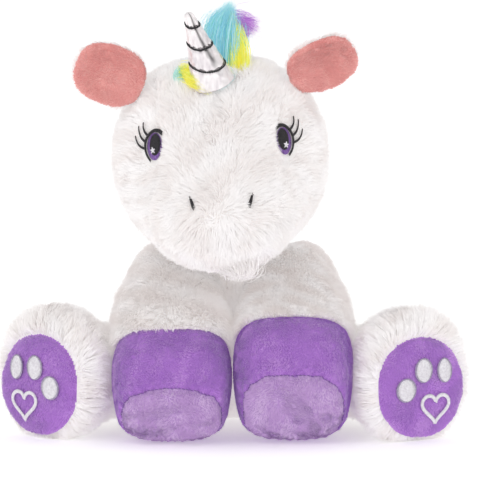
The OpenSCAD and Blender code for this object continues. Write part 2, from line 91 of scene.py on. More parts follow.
def linear(red, green, blue):
    """A screen colour, 0 to 255, as the linear values that a shader takes."""
    out = []
    for value in (red, green, blue):
        c = value / 255
        out.append(c / 12.92 if c <= 0.04045 else ((c + 0.055) / 1.055) ** 2.4)
    return (*out, 1.0)


def drift(points, size, seed):
    """A smooth random vector field whose features are about size metres across."""
    rng = np.random.default_rng(seed)
    out = np.zeros_like(points)
    for _ in range(7):
        wave = unit(rng.normal(size=3)) * (TURN / size) * rng.uniform(0.6, 1.5)
        phase = rng.uniform(0, TURN)
        out += rng.normal(size=3) * np.sin(points @ wave + phase)[:, None]
    return out / math.sqrt(7)


def eased(t):
    t = np.clip(t, 0, 1)
    return t * t * (3 - 2 * t)


# ---- Materials ----


def blank(name, colour, roughness, sheen, gloss, metal=0.0):
    """A new node material whose constants sit on its shader's own sockets."""
    material = bpy.data.materials.new(name)
    material.use_nodes = True
    tree = material.node_tree
    shader = tree.nodes["Principled BSDF"]
    shader.inputs["Base Color"].default_value = colour
    shader.inputs["Roughness"].default_value = roughness
    shader.inputs["Specular IOR Level"].default_value = gloss
    shader.inputs["Metallic"].default_value = metal
    shader.inputs["Sheen Weight"].default_value = sheen
    shader.inputs["Sheen Roughness"].default_value = 0.5
    return material, tree, shader


def noise(tree, scale, detail, stretch=(1, 1, 1)):
    """A noise texture in the object's own coordinates; its output socket."""
    place = tree.nodes.new("ShaderNodeTexCoord")
    mapping = tree.nodes.new("ShaderNodeMapping")
    mapping.inputs["Scale"].default_value = stretch
    texture = tree.nodes.new("ShaderNodeTexNoise")
    texture.inputs["Scale"].default_value = scale
    texture.inputs["Detail"].default_value = detail
    tree.links.new(place.outputs["Object"], mapping.inputs["Vector"])
    tree.links.new(mapping.outputs["Vector"], texture.inputs["Vector"])
    return texture.outputs["Fac"]


def ramp(tree, fac, stops):
    """A colour ramp from (position, colour) stops; its output socket."""
    node = tree.nodes.new("ShaderNodeValToRGB")
    elements = node.color_ramp.elements
    while len(elements) < len(stops):
        elements.new(0.5)
    for element, (position, colour) in zip(elements, stops):
        element.position = position
        element.color = colour
    tree.links.new(fac, node.inputs["Fac"])
    return node.outputs["Color"]


def bump(tree, shader, height, strength, distance):
    node = tree.nodes.new("ShaderNodeBump")
    node.inputs["Strength"].default_value = strength
    node.inputs["Distance"].default_value = distance
    tree.links.new(height, node.inputs["Height"])
    tree.links.new(node.outputs["Normal"], shader.inputs["Normal"])


def backing(name, dark, light, sheen=0.4):
    """Pile fabric's ground: blotches of two shades under a fine knit."""
    dark, light = linear(*dark), linear(*light)
    material, tree, shader = blank(name, light, 0.9, sheen, 0.15)
    tint = ramp(tree, noise(tree, 90, 4), [(0.35, dark), (0.65, light)])
    tree.links.new(tint, shader.inputs["Base Color"])
    bump(tree, shader, noise(tree, 1400, 2), 0.5, 0.0006)
    return material


def pile_shades(name, glow, colours, sheen=0.25, roughness=0.8, gloss=0.15):
    """Plain fibre materials; glow stands for the light that scatters from fibre to fibre."""
    made = []
    for letter, colour in zip("abcd", colours):
        shade = linear(*colour)
        material, _, shader = blank(f"{name}_{letter}", shade, roughness, sheen, gloss)
        shader.inputs["Emission Color"].default_value = shade
        shader.inputs["Emission Strength"].default_value = glow
        made.append(material)
    return made


# The colour mix node's sockets: its two colours and its result.
MIX_A, MIX_B, MIX_OUT = 6, 7, 2


def foil_cloth():
    """Silver lame: crinkled metal over a fine knit; painted dark reflections darken it in streaks and
    along its fold.
    """
    silver = linear(248, 243, 244)
    material, tree, shader = blank("silver_lame", silver, 0.34, 0.0, 0.5, 0.85)
    # Painted reflection: stretched noise streaks that darken the silver where the foil would mirror
    # dark surroundings.
    painted_reflection_streaks = noise(tree, 120, 3, (1, 1, 0.3))
    tint = ramp(tree, painted_reflection_streaks, [(0.3, linear(206, 198, 203)), (0.5, silver)])
    # Painted dark reflection: the crease colour layer darkens the foil along its lengthwise fold.
    crease = tree.nodes.new("ShaderNodeVertexColor")
    crease.layer_name = "crease"
    painted_reflection_mix = tree.nodes.new("ShaderNodeMix")
    painted_reflection_mix.data_type = "RGBA"
    painted_reflection_mix.blend_type = "MULTIPLY"
    painted_reflection_mix.inputs["Factor"].default_value = 1.0
    tree.links.new(tint, painted_reflection_mix.inputs[MIX_A])
    tree.links.new(crease.outputs["Color"], painted_reflection_mix.inputs[MIX_B])
    tree.links.new(painted_reflection_mix.outputs[MIX_OUT], shader.inputs["Base Color"])
    grain = noise(tree, 1500, 2)
    rough = tree.nodes.new("ShaderNodeMapRange")
    rough.inputs["To Min"].default_value = 0.22
    rough.inputs["To Max"].default_value = 0.5
    tree.links.new(grain, rough.inputs["Value"])
    tree.links.new(rough.outputs["Result"], shader.inputs["Roughness"])
    bump(tree, shader, noise(tree, 420, 4), 0.35, 0.0008)
    return material


def yarn(name, dark, light):
    """Rayon embroidery thread: a soft shine and a little change of shade."""
    dark, light = linear(*dark), linear(*light)
    material, tree, shader = blank(name, light, 0.42, 0.1, 0.5)
    tint = ramp(tree, noise(tree, 700, 2), [(0.3, dark), (0.7, light)])
    tree.links.new(tint, shader.inputs["Base Color"])
    bump(tree, shader, noise(tree, 3500, 1), 0.3, 0.0002)
    return material


WHITE_GROUND = backing("white_ground", (246, 242, 240), (252, 250, 249))
PURPLE_GROUND = backing("purple_ground", (166, 110, 200), (186, 130, 216), 0.7)
LILAC_GROUND = backing("lilac_ground", (180, 142, 202), (198, 164, 214), 0.7)
PINK_GROUND = backing("pink_ground", (228, 152, 148), (240, 172, 166), 0.6)
WHITES = [(254, 252, 252), (252, 249, 248), (249, 245, 244)]
PURPLES = [(188, 132, 218), (194, 140, 222), (180, 122, 212), (202, 152, 226)]
LILACS = [(198, 162, 214), (204, 172, 218), (188, 148, 208), (214, 186, 226)]
PINKS = [(240, 176, 172), (244, 188, 182), (234, 164, 160)]
WHITE_FIBRES = pile_shades("white_fibre", 0.08, WHITES)
# Painted light: a copy of the white fibres that glows more; the torso and front legs glow more only
# because they then look right from the front.
BRIGHTER_GLOW_WHITE_FIBRES = pile_shades("brighter_glow_white_fibre", 0.115, WHITES)
PURPLE_FIBRES = pile_shades("purple_fibre", 0.08, PURPLES, 0.6)
LILAC_FIBRES = pile_shades("lilac_fibre", 0.08, LILACS, 0.6)
PINK_FIBRES = pile_shades("pink_fibre", 0.06, PINKS, 0.5)
FOIL = foil_cloth()
BLACK_YARN = yarn("black_yarn", (14, 12, 15), (38, 34, 40))
IRIS_YARN = yarn("iris_yarn", (112, 74, 150), (152, 112, 188))
PALE_YARN = yarn("pale_yarn", (222, 218, 224), (246, 244, 248))
GREY_YARN = yarn("grey_yarn", (150, 138, 166), (184, 174, 196))
PURPLE_YARN = yarn("purple_yarn", (96, 62, 134), (124, 88, 162))


def fibres(name, *colours):
    """Long, slightly glossy mane fibre in several shades, with a painted glow that stands in for light
    scattered between the fibres.
    """
    return pile_shades(name, 0.16, colours, 0.15, 0.5, 0.4)


BLUE_LOCK = fibres("blue_lock", (156, 216, 230), (176, 226, 236), (200, 234, 240), (138, 206, 226))
TEAL_LOCK = fibres("teal_lock", (150, 220, 212), (178, 232, 222), (204, 240, 232), (138, 212, 206))
YELLOW_LOCK = fibres("yellow_lock", (248, 240, 104), (252, 246, 140), (242, 232, 84), (226, 238, 120))
VIOLET_LOCK = fibres("violet_lock", (190, 124, 214), (208, 150, 226), (170, 104, 202), (222, 176, 234))
PALE_LOCK = fibres("pale_lock", (222, 240, 240), (236, 244, 244), (206, 232, 234))


# ---- Meshes ----


def placed(name, data):
    """A new object, linked into the scene."""
    made = bpy.data.objects.new(name, data)
    SCENE.collection.objects.link(made)
    return made


def mesh_object(name, verts, faces, materials, slots=None):
    mesh = bpy.data.meshes.new(name)
    mesh.from_pydata(verts, [], faces)
    for material in materials:
        mesh.materials.append(material)
    if slots is not None:
        mesh.polygons.foreach_set("material_index", slots)
    mesh.shade_smooth()
    return placed(name, mesh)


def vectors_of(mesh, field):
    """Every vertex's "co" or "normal", as rows."""
    out = np.empty(len(mesh.vertices) * 3, np.float32)
    mesh.vertices.foreach_get(field, out)
    return out.reshape(-1, 3).astype(float)


def points_of(mesh):
    return vectors_of(mesh, "co")


def normals_of(mesh):
    return vectors_of(mesh, "normal")


def moved_to(mesh, points):
    mesh.vertices.foreach_set("co", points.astype(np.float32).ravel())
    mesh.update()


def applied(made):
    """Replaces an object's mesh by what its modifiers make of it."""
    graph = bpy.context.evaluated_depsgraph_get()
    mesh = bpy.data.meshes.new_from_object(made.evaluated_get(graph))
    made.modifiers.clear()
    made.data = mesh


def keep_largest(mesh):
    """Deletes every loose part but the one with the most vertices."""
    bm = bmesh.new()
    bm.from_mesh(mesh)
    left, best = set(bm.verts), []
    while left:
        stack = [left.pop()]
        part = list(stack)
        while stack:
            for edge in stack.pop().link_edges:
                for vert in edge.verts:
                    if vert in left:
                        left.remove(vert)
                        part.append(vert)
                        stack.append(vert)
        if len(part) > len(best):
            best = part
    keep = set(best)
    bmesh.ops.delete(bm, geom=[v for v in bm.verts if v not in keep], context="VERTS")
    bm.to_mesh(mesh)
    bm.free()


def distances(points, node):
    """How far each point is from a CAD node's surface."""
    bm = bmesh.new()
    bm.from_mesh(NODES[node].data)
    tree = BVHTree.FromBMesh(bm)
    bm.free()
    return np.array([tree.find_nearest(Vector(p))[3] for p in points])


# ---- Puffed skins ----

SIM_FRAMES = 20
CLOTH = {
    "quality": 4,
    "mass": 0.2,
    "use_pressure": True,
    "uniform_pressure_force": 4.0,
    "tension_stiffness": 12,
    "compression_stiffness": 12,
    "bending_stiffness": 0.4,
    "vertex_group_mass": "seams",
}
# How firmly the cloth is held at its seams, and how wide a seam's groove is.
SEAM_HOLD = 0.85
GROOVE_WIDTH = 0.0016


def fused(name, nodes, voxel, shrink, stump=None):
    """One closed quad skin round several CAD nodes and a stump, drawn in a little."""
    bm = bmesh.new()
    for node in nodes:
        bm.from_mesh(NODES[node].data)
    if stump:
        rings = [[bm.verts.new(p) for p in ring] for ring in stump]
        for low, high in zip(rings, rings[1:]):
            for a, b, c, d in zip(low, low[1:] + low[:1], high[1:] + high[:1], high):
                bm.faces.new((a, b, c, d))
        bm.faces.new(rings[0][::-1])
        bm.faces.new(rings[-1])
    mesh = bpy.data.meshes.new(name)
    bm.to_mesh(mesh)
    bm.free()
    made = placed(name, mesh)
    remesh = made.modifiers.new("fuse", "REMESH")
    remesh.mode = "VOXEL"
    remesh.voxel_size = voxel
    soften = made.modifiers.new("soften", "SMOOTH")
    soften.factor = 0.5
    soften.iterations = 3
    applied(made)
    keep_largest(made.data)
    moved_to(made.data, points_of(made.data) - normals_of(made.data) * shrink)
    return made


def panel_distances(points, panels, wider=None):
    """Each point's panel and distance to the nearest seam; wider grows chosen panels."""
    gaps = np.stack([distances(points, node) for node in panels])
    for node, extra in (wider or {}).items():
        gaps[panels.index(node)] -= extra
    order = np.sort(gaps, axis=0)
    if len(panels) == 1:
        return np.zeros(len(points), int), np.full(len(points), 1.0)
    signed = order * np.abs(order)
    return gaps.argmin(axis=0), np.sqrt(np.maximum(signed[1] - signed[0], 0))


def puffed(made, panels, cap, hold):
    """Blows a skin up as cloth, held along its seams; no point moves further than cap."""
    rest = points_of(made.data)
    seam = panel_distances(rest, panels)[1]
    group = made.vertex_groups.new(name="seams")
    for index in np.nonzero(seam < hold)[0]:
        group.add([int(index)], SEAM_HOLD, "REPLACE")
    cloth = made.modifiers.new("puff", "CLOTH")
    settings = cloth.settings
    for key, value in CLOTH.items():
        setattr(settings, key, value)
    settings.effector_weights.gravity = 0
    cloth.point_cache.frame_end = SIM_FRAMES
    for step in range(1, SIM_FRAMES + 1):
        SCENE.frame_set(step)
    graph = bpy.context.evaluated_depsgraph_get()
    blown = points_of(made.evaluated_get(graph).data)
    made.modifiers.clear()
    made.vertex_groups.clear()
    shift = blown - rest
    reach = np.linalg.norm(shift, axis=1, keepdims=True)
    moved_to(made.data, rest + shift * np.minimum(1, cap / np.maximum(reach, 1e-9)))
    SCENE.frame_set(1)


class Skin:
    """A puffed, subdivided surface with every vertex's panel, normal and seam distance.

    cap is how far the cloth may move, shrink how far the skin starts inside the CAD, groove how
    deep its seams are, swell a function that adds height, and wider what panel_distances takes.
    """

    def __init__(
        self, name, panels, fillings, voxel, cap, levels, shrink=0.0015, groove=0.0012,
        stump=None, swell=None, wider=None,
    ):
        made = fused(name, panels + fillings, voxel, shrink, stump)
        puffed(made, panels, cap, voxel * 0.9)
        divide = made.modifiers.new("divide", "SUBSURF")
        divide.levels = levels
        applied(made)
        self.panels = panels
        self.wider = wider
        co = points_of(made.data)
        _, seam = panel_distances(co, panels, wider)
        rise = -groove * np.exp(-((seam / GROOVE_WIDTH) ** 2))
        if swell:
            rise += swell(co)
        co += normals_of(made.data) * rise[:, None]
        co[:, 2] = np.maximum(co[:, 2], FLOOR_GAP)
        moved_to(made.data, co)
        self.keep(made)

    def keep(self, made):
        """Reads the finished mesh into arrays and drops the object."""
        mesh = made.data
        self.co = points_of(mesh)
        self.normal = normals_of(mesh)
        label, self.seam = panel_distances(self.co, self.panels, self.wider)
        self.polys = [tuple(p.vertices) for p in mesh.polygons]
        self.label = np.array([np.bincount(label[list(p)]).argmax() for p in self.polys])
        mesh.calc_loop_triangles()
        count = len(mesh.loop_triangles)
        tris = np.empty(count * 3, np.int32)
        owner = np.empty(count, np.int32)
        mesh.loop_triangles.foreach_get("vertices", tris)
        mesh.loop_triangles.foreach_get("polygon_index", owner)
        self.tris = tris.reshape(-1, 3)
        self.tri_label = self.label[owner]
        self.tree = BVHTree.FromPolygons([Vector(p) for p in self.co], self.polys)
        bpy.data.objects.remove(made)

    def onto(self, origin, direction):
        """Where a ray from outside meets the skin, or None."""
        hit = self.tree.ray_cast(Vector(origin), Vector(direction))
        return None if hit[0] is None else np.array(hit[0])


def cover(name, skin, panel, body, coat, stands_for):
    """One panel of a skin as its own piece, in place of its CAD nodes."""
    faces = [p for p, label in zip(skin.polys, skin.label) if label == skin.panels.index(panel)]
    used = sorted({v for face in faces for v in face})
    number = {v: i for i, v in enumerate(used)}
    renumbered = [[number[v] for v in face] for face in faces]
    made = mesh_object(name, skin.co[used].tolist(), renumbered, [coat.ground])
    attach(made, body)
    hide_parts(*stands_for)
    return made


# ---- Pile ----

# rise is how steeply a blade leaves the ground and how steeply it ends.
Coat = namedtuple("Coat", "density length width rise clump pull sway shades ground slot")
LONG_PILE = Coat(
    2.1e6, 0.0092, 0.00048, (0.62, 0.36), 0.005, 0.3, 0.42, WHITE_FIBRES, WHITE_GROUND, "white_fur"
)
HEAD_PILE = LONG_PILE._replace(length=0.0082, rise=(0.76, 0.48), clump=0.0045, sway=0.45)
EAR_PILE = LONG_PILE._replace(length=0.0085)
TORSO_PILE = LONG_PILE._replace(shades=BRIGHTER_GLOW_WHITE_FIBRES)
HIND_PILE = HEAD_PILE._replace(length=0.0098, clump=0.005)
LEG_PILE = HIND_PILE._replace(shades=BRIGHTER_GLOW_WHITE_FIBRES)
SHORT_PURPLE = Coat(
    3e6, 0.0021, 0.00046, (0.55, 0.35), 0.004, 0.12, 0.6, PURPLE_FIBRES, PURPLE_GROUND, "purple_plush"
)
SHORT_LILAC = SHORT_PURPLE._replace(shades=LILAC_FIBRES, ground=LILAC_GROUND, slot="lilac_plush")
SHORT_PINK = SHORT_PURPLE._replace(
    length=0.0026, shades=PINK_FIBRES, ground=PINK_GROUND, slot="pink_plush"
)
# A coat shorter than this gets shorter still beside its seams.
SHORT_COAT = 0.004
# Blades shorter than this share of the coat's length are left out.
LEAST_GROWN = 0.15


def blades(name, root, mid, tip, side, width, shade, materials):
    """A mesh of flat tapering blades, each a quad and a triangle."""
    n = len(root)
    half = side * (width / 2)[:, None]
    corners = [root - half, root + half, mid - half * 0.85, mid + half * 0.85, tip]
    verts = np.stack(corners, axis=1).reshape(-1, 3)
    verts[:, 2] = np.maximum(verts[:, 2], FLOOR_GAP)
    first = np.arange(n)[:, None] * 5
    loops = np.concatenate([first + [0, 1, 3, 2], first + [2, 3, 4]], axis=1).ravel()
    starts = (np.arange(n)[:, None] * 7 + [0, 4]).ravel()
    mesh = bpy.data.meshes.new(name)
    mesh.vertices.add(5 * n)
    mesh.vertices.foreach_set("co", verts.astype(np.float32).ravel())
    mesh.loops.add(7 * n)
    mesh.loops.foreach_set("vertex_index", loops.astype(np.int32))
    mesh.polygons.add(2 * n)
    mesh.polygons.foreach_set("loop_start", starts.astype(np.int32))
    for material in materials:
        mesh.materials.append(material)
    mesh.polygons.foreach_set("material_index", np.repeat(shade, 2).astype(np.int32))
    mesh.update(calc_edges=True)
    mesh.shade_smooth()
    return placed(name, mesh)


def owners(roots, chosen):
    """For each root, which of the chosen roots is nearest."""
    tree = KDTree(len(chosen))
    for index in chosen:
        tree.insert(Vector(roots[index]), int(index))
    tree.balance()
    return np.array([tree.find(Vector(p))[1] for p in roots])


def seeded_roots(skin, panel, density, rng):
    """Random points over one panel, with their normals and seam distances."""
    faces = skin.tris[skin.tri_label == skin.panels.index(panel)]
    a, b, c = (skin.co[faces[:, k]] for k in range(3))
    area = np.linalg.norm(np.cross(b - a, c - a), axis=1) / 2
    total = area.sum()
    count = min(int(total * density), MAX_BLADES)
    pick = np.searchsorted(np.cumsum(area), rng.random(count) * total)
    pick = np.minimum(pick, len(faces) - 1)
    s, t = rng.random(count), rng.random(count)
    over = s + t > 1
    s[over], t[over] = 1 - s[over], 1 - t[over]
    share = np.stack([1 - s - t, s, t], axis=1)
    corner = faces[pick]
    root = (skin.co[corner] * share[:, :, None]).sum(axis=1)
    normal = unit((skin.normal[corner] * share[:, :, None]).sum(axis=1))
    return root, normal, (skin.seam[corner] * share).sum(axis=1)


def grow(name, skin, panel, body, coat, flow, seed, trim):
    """Combed, clumped pile over one panel of a skin."""
    rng = np.random.default_rng(seed)
    root, normal, seam = seeded_roots(skin, panel, coat.density, rng)
    grown = np.ones(len(root)) if trim is None else trim(root)
    if coat.length < SHORT_COAT:
        grown = grown * (0.25 + 0.75 * eased(seam / GROOVE_WIDTH))
    keep = grown > LEAST_GROWN
    root, normal, seam, grown = root[keep], normal[keep], seam[keep], grown[keep]
    n = len(root)
    comb = flow(root) + drift(root, 0.035, seed + 1) * coat.sway
    comb += drift(root, 0.012, seed + 2) * coat.sway * 0.6
    comb += rng.normal(size=(n, 3)) * 0.14
    along = unit(comb - (comb * normal).sum(axis=1, keepdims=True) * normal)
    short = 1 - 0.35 * np.exp(-seam / 0.003)
    length = (coat.length * grown * short * rng.uniform(0.7, 1.15, n))[:, None]
    first, last = coat.rise
    lift = rng.normal(1, 0.14, n)[:, None]
    mid = root + length / 2 * (normal * first * lift + along * math.sqrt(1 - first**2))
    tip = mid + length / 2 * (normal * last * lift + along * math.sqrt(1 - last**2))
    spacing = max(1, int(n / coat.density / coat.clump**2))
    owner = owners(root, rng.choice(n, spacing, replace=False))
    pull = coat.pull * rng.uniform(0.5, 1.0, n)[:, None]
    tip = tip + (tip[owner] - tip) * pull
    mid = mid + (mid[owner] - mid) * pull * 0.4
    roll = rng.normal(0, 0.2, n)[:, None]
    side = unit(np.cross(along, normal)) * np.cos(roll) + normal * np.sin(roll)
    tone = drift(root, 0.02, seed + 3)[:, 0] + rng.normal(0, 0.5, n)
    bounds = np.linspace(-0.9, 0.9, len(coat.shades) + 1)[1:-1]
    shade = np.searchsorted(bounds, tone)
    width = coat.width * rng.uniform(0.8, 1.2, n)
    inset = min(0.0005, coat.length / 5)
    made = blades(name, root - normal * inset, mid, tip, side, width, shade, coat.shades)
    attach(made, body)
    return made


def dress(skin, panel, body, coat, flow, seed, hidden=(), trim=None):
    """A panel's cover, in place of its own CAD node and the hidden ones, and its pile."""
    ground = cover(panel + "_cover", skin, panel, body, coat, [panel, *hidden])
    return ground, grow(panel + "_pile", skin, panel, body, coat, flow, seed, trim)


def away_from(point, droop=0.0):
    """A comb direction that leads away from a point and a little down."""
    return lambda p: unit(p - point) - np.array([0, 0, droop])


# ---- Threads ----


THREAD_SIDES = 6
THREAD_TAPER = 0.7


def tubes(name, lines, radius, materials, slots=None):
    """Threads along lines of (point, outward) stations, closed at both ends."""
    verts, faces, shades = [], [], []
    sides = THREAD_SIDES
    turn = np.arange(sides) * TURN / sides
    for number, (points, outward) in enumerate(lines):
        n = len(points)
        ahead = unit(np.gradient(points, axis=0))
        side = unit(np.cross(ahead, outward))
        up = unit(np.cross(side, ahead))
        size = np.full(n, radius)
        size[[0, -1]] *= THREAD_TAPER
        ring = side[:, None] * np.cos(turn)[None, :, None]
        ring = ring + up[:, None] * np.sin(turn)[None, :, None]
        first = len(verts)
        verts.extend((points[:, None] + ring * size[:, None, None]).reshape(-1, 3).tolist())
        verts.extend([points[0].tolist(), points[-1].tolist()])
        for i in range(n - 1):
            for j in range(sides):
                a, b = first + i * sides + j, first + i * sides + (j + 1) % sides
                faces.append((a, b, b + sides, a + sides))
        low, high = first + n * sides, first + n * sides + 1
        for j in range(sides):
            k = (j + 1) % sides
            faces.append((low, first + k, first + j))
            faces.append((high, first + (n - 1) * sides + j, first + (n - 1) * sides + k))
        shade = 0 if slots is None else slots[number]
        shades.extend([shade] * (len(faces) - len(shades)))
    return mesh_object(name, verts, faces, materials, shades)


def fill_rows(outline, angle, spacing):
    """Parallel stitches (from, to) that fill a closed outline."""
    c, s = math.cos(angle), math.sin(angle)
    turn = np.array([[c, s], [-s, c]])
    shape = np.asarray(outline) @ turn.T
    rows = []
    nexts = np.roll(shape, -1, axis=0)
    for y in np.arange(shape[:, 1].min() + spacing / 2, shape[:, 1].max(), spacing):
        cross = (shape[:, 1] <= y) != (nexts[:, 1] <= y)
        a, b = shape[cross], nexts[cross]
        xs = np.sort(a[:, 0] + (y - a[:, 1]) / (b[:, 1] - a[:, 1]) * (b[:, 0] - a[:, 0]))
        for x0, x1 in zip(xs[::2], xs[1::2]):
            if x1 - x0 > spacing * 0.5:
                rows.append((np.array([x0, y]) @ turn, np.array([x1, y]) @ turn))
    return rows


def smooth_path(points, steps):
    """A Catmull-Rom curve through points, steps stations per span."""
    p = np.asarray(points, float)
    p = np.vstack([2 * p[0] - p[1], p, 2 * p[-1] - p[-2]])
    out = []
    for i in range(1, len(p) - 2):
        for t in np.arange(steps) / steps:
            a = 2 * p[i] + (p[i + 1] - p[i - 1]) * t
            b = (2 * p[i - 1] - 5 * p[i] + 4 * p[i + 1] - p[i + 2]) * t**2
            c = (3 * p[i] - p[i - 1] - 3 * p[i + 1] + p[i + 2]) * t**3
            out.append((a + b + c) / 2)
    out.append(p[-2])
    return np.array(out)


def run_along(points):
    """How far along a line each of its points is."""
    steps = np.linalg.norm(np.diff(points, axis=0), axis=1)
    return np.concatenate([[0], np.cumsum(steps)])


def interpolated(at, far, points):
    """Rows of points at the distances at, where far is each point's own distance."""
    return np.stack([np.interp(at, far, column) for column in points.T], axis=-1)


# Satin stitches lean along their line by this share of its width.
SLANT = 0.5
# Millimetres each way over which a line's direction is taken.
NEARBY = 0.3


def stroke_rows(points, wide, narrow, spacing):
    """Stitches across a curved line that tapers from wide to narrow."""
    path = smooth_path(points, 24)
    far = run_along(path)
    rows = []
    for d in np.arange(0, far[-1], spacing):
        here = interpolated(d, far, path)
        later = interpolated(min(d + NEARBY, far[-1]), far, path)
        early = interpolated(max(d - NEARBY, 0), far, path)
        along = unit(later - early)
        across = np.array([-along[1], along[0]])
        half = (wide + (narrow - wide) * d / far[-1]) / 2
        lean = along * SLANT * half
        rows.append((here - across * half - lean, here + across * half + lean))
    return rows


def seam_loop(skin, first, second):
    """Points and normals along the seam between two panels of a skin, in order."""
    wanted = {skin.panels.index(first), skin.panels.index(second)}
    sides = {}
    for face, label in zip(skin.polys, skin.label):
        for a, b in zip(face, face[1:] + face[:1]):
            sides.setdefault((min(a, b), max(a, b)), []).append(label)
    links = {}
    for (a, b), labels in sides.items():
        if set(labels) == wanted:
            links.setdefault(a, []).append(b)
            links.setdefault(b, []).append(a)
    here = min(links, key=lambda v: tuple(skin.co[v]))
    order, seen = [here], {here}
    while True:
        ahead = [v for v in links[here] if v not in seen]
        if not ahead:
            break
        here = ahead[0]
        order.append(here)
        seen.add(here)
    return skin.co[order], skin.normal[order]


SEAM_STITCH = 0.0026


def sewn(name, skin, first, second, body, yarn_material):
    """A row of short slanted thread stitches along a closed seam."""
    points, normal = seam_loop(skin, first, second)
    for _ in range(6):
        points = (np.roll(points, 1, axis=0) + points * 2 + np.roll(points, -1, axis=0)) / 4
        normal = unit(np.roll(normal, 1, axis=0) + normal * 2 + np.roll(normal, -1, axis=0))
    ring = np.vstack([points, points[:1]])
    facing = np.vstack([normal, normal[:1]])
    far = run_along(ring)
    lines = []
    for d in np.arange(0, far[-1] - SEAM_STITCH, SEAM_STITCH):
        t = d + np.linspace(0, SEAM_STITCH * 0.78, 5)
        line = interpolated(t, far, ring)
        out = unit(interpolated(t, far, facing))
        across = unit(np.cross(line[-1] - line[0], out[2]))
        slant = np.linspace(-0.0002, 0.0002, 5)[:, None] * across
        arch = 0.0004 + 0.0003 * np.sin(np.linspace(0, math.pi, 5))[:, None]
        lines.append((line + slant + out * arch, out[2]))
    made = tubes(name, lines, 0.00024, [yarn_material])
    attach(made, body)


class Patch:
    """A flat drawing plane beside a skin; drawings drop onto the skin along its outward axis."""

    # How far outside the plane a dropped point starts.
    FAR = 0.03

    def __init__(self, skin, centre, across, outward):
        self.skin = skin
        self.out = unit(np.asarray(outward, float))
        across = np.asarray(across, float)
        self.across = unit(across - across @ self.out * self.out)
        self.up = np.cross(self.out, self.across)
        self.up *= np.sign(self.up[2])
        self.centre = np.asarray(centre, float)

    def drop(self, u, v, lift):
        """The point over (u, v) millimetres, lift metres above the skin."""
        start = self.centre + (self.across * u + self.up * v) * MM + self.out * self.FAR
        hit = self.skin.onto(start, -self.out)
        base = start - self.out * self.FAR if hit is None else hit
        return base + self.out * lift

    def stitches(self, rows, lift, arch):
        """Satin stitches as lines for tubes(): each rises in its middle."""
        lines = []
        for a, b in rows:
            spots = []
            for t in np.linspace(0, 1, 6):
                u, v = a + (b - a) * t
                spots.append(self.drop(u, v, lift + arch * math.sin(math.pi * t)))
            lines.append((np.array(spots), self.out))
        return lines

    def layered(self, layers):
        """The lines and their shade numbers for layers of (rows, lift, arch, shade)."""
        lines, shades = [], []
        for rows, lift, arch, shade in layers:
            made = self.stitches(rows, lift, arch)
            lines += made
            shades += [shade] * len(made)
        return lines, shades


def ellipse(centre, half, lean):
    t = np.linspace(0, TURN, 48, endpoint=False)
    x, y = half[0] * np.cos(t), half[1] * np.sin(t)
    c, s = math.cos(lean), math.sin(lean)
    return np.stack([centre[0] + x * c - y * s, centre[1] + x * s + y * c], axis=1)


def star(centre, outer, inner):
    points = 5
    t = math.pi / 2 + np.arange(2 * points) * math.pi / points
    r = np.where(np.arange(2 * points) % 2 == 0, outer, inner)
    return np.stack([centre[0] + r * np.cos(t), centre[1] + r * np.sin(t)], axis=1)


# ---- Head ----

EYE_ACROSS = unit(middle("eye_left") - middle("eye_right"))
FORWARD = np.array([0.0, -1.0, 0.0])
HEAD_UP = np.cross(FORWARD, EYE_ACROSS)
HEAD = pivot("neck_turn")
HEAD_PANELS = ["head_side_left", "head_side_right", "head_centre_panel", "head_back_panel"]
NOSE = middle("nostril_left") / 2 + middle("nostril_right") / 2 + FORWARD * 0.02
# The spacing of satin stitches in millimetres, and a thread's radius in metres.
STITCH = 0.42
THREAD = 0.00026


def head_direction(lat, lon):
    """Out of the head's middle: lat towards its left, lon up from straight ahead, degrees."""
    a, b = math.radians(lat), math.radians(lon)
    ahead = FORWARD * math.cos(b) + HEAD_UP * math.sin(b)
    return EYE_ACROSS * math.sin(a) + ahead * math.cos(a)


def ramp_out(points, centre, inner, outer):
    gap = np.linalg.norm(points - centre, axis=1)
    return eased((gap - inner) / (outer - inner))


def head_trim(points):
    """Pile length over the head: none on embroidery or the neck, short at the horn's foot."""
    grown = ramp_out(points, middle("neck_stuffing"), 0.029, 0.042)
    for side in SIDES:
        eye = middle(f"eye_{side}")
        gap = points - eye
        up = gap @ HEAD_UP
        flat = np.sqrt(np.maximum((gap * gap).sum(axis=1) - up**2, 0))
        grown = np.minimum(grown, eased((np.hypot(flat / 0.0082, up / 0.0116) - 0.95) / 0.9))
        lash = middle(f"lashes_{side}")
        grown = np.minimum(grown, 0.18 + 0.82 * ramp_out(points, lash, 0.0065, 0.014))
        grown = np.minimum(grown, ramp_out(points, middle(f"nostril_{side}"), 0.0022, 0.01))
    return np.minimum(grown, 0.55 + 0.45 * ramp_out(points, pivot("horn_bend"), 0.013, 0.022))


def cheeks(points):
    """How far the cheeks stand out: most at the head's sides, nothing at the ears."""
    rel = points - HEAD
    across = rel @ EYE_ACROSS / 0.066
    return 0.0042 * across**2 * (1 - eased((rel @ HEAD_UP - 0.012) / 0.03))


def make_head():
    fillings = ["head_stuffing"]
    skin = Skin("head", HEAD_PANELS, fillings, 0.0045, cap=0.003, levels=1, groove=0.0005, swell=cheeks)
    flow = away_from(NOSE, 0.25)
    for number, panel in enumerate(HEAD_PANELS):
        hidden = fillings if panel == "head_centre_panel" else []
        dress(skin, panel, "head", HEAD_PILE, flow, 100 + 10 * number, hidden, head_trim)
    return skin


def eye_patch(skin, side):
    """The drawing plane of one eye; its u axis points away from the nose."""
    centre = middle(f"eye_{side}")
    outward = unit(centre - HEAD)
    return Patch(skin, centre, EYE_ACROSS * SIDES[side], outward)


def sew_on(made, body, nodes):
    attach(made, body)
    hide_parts(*nodes)


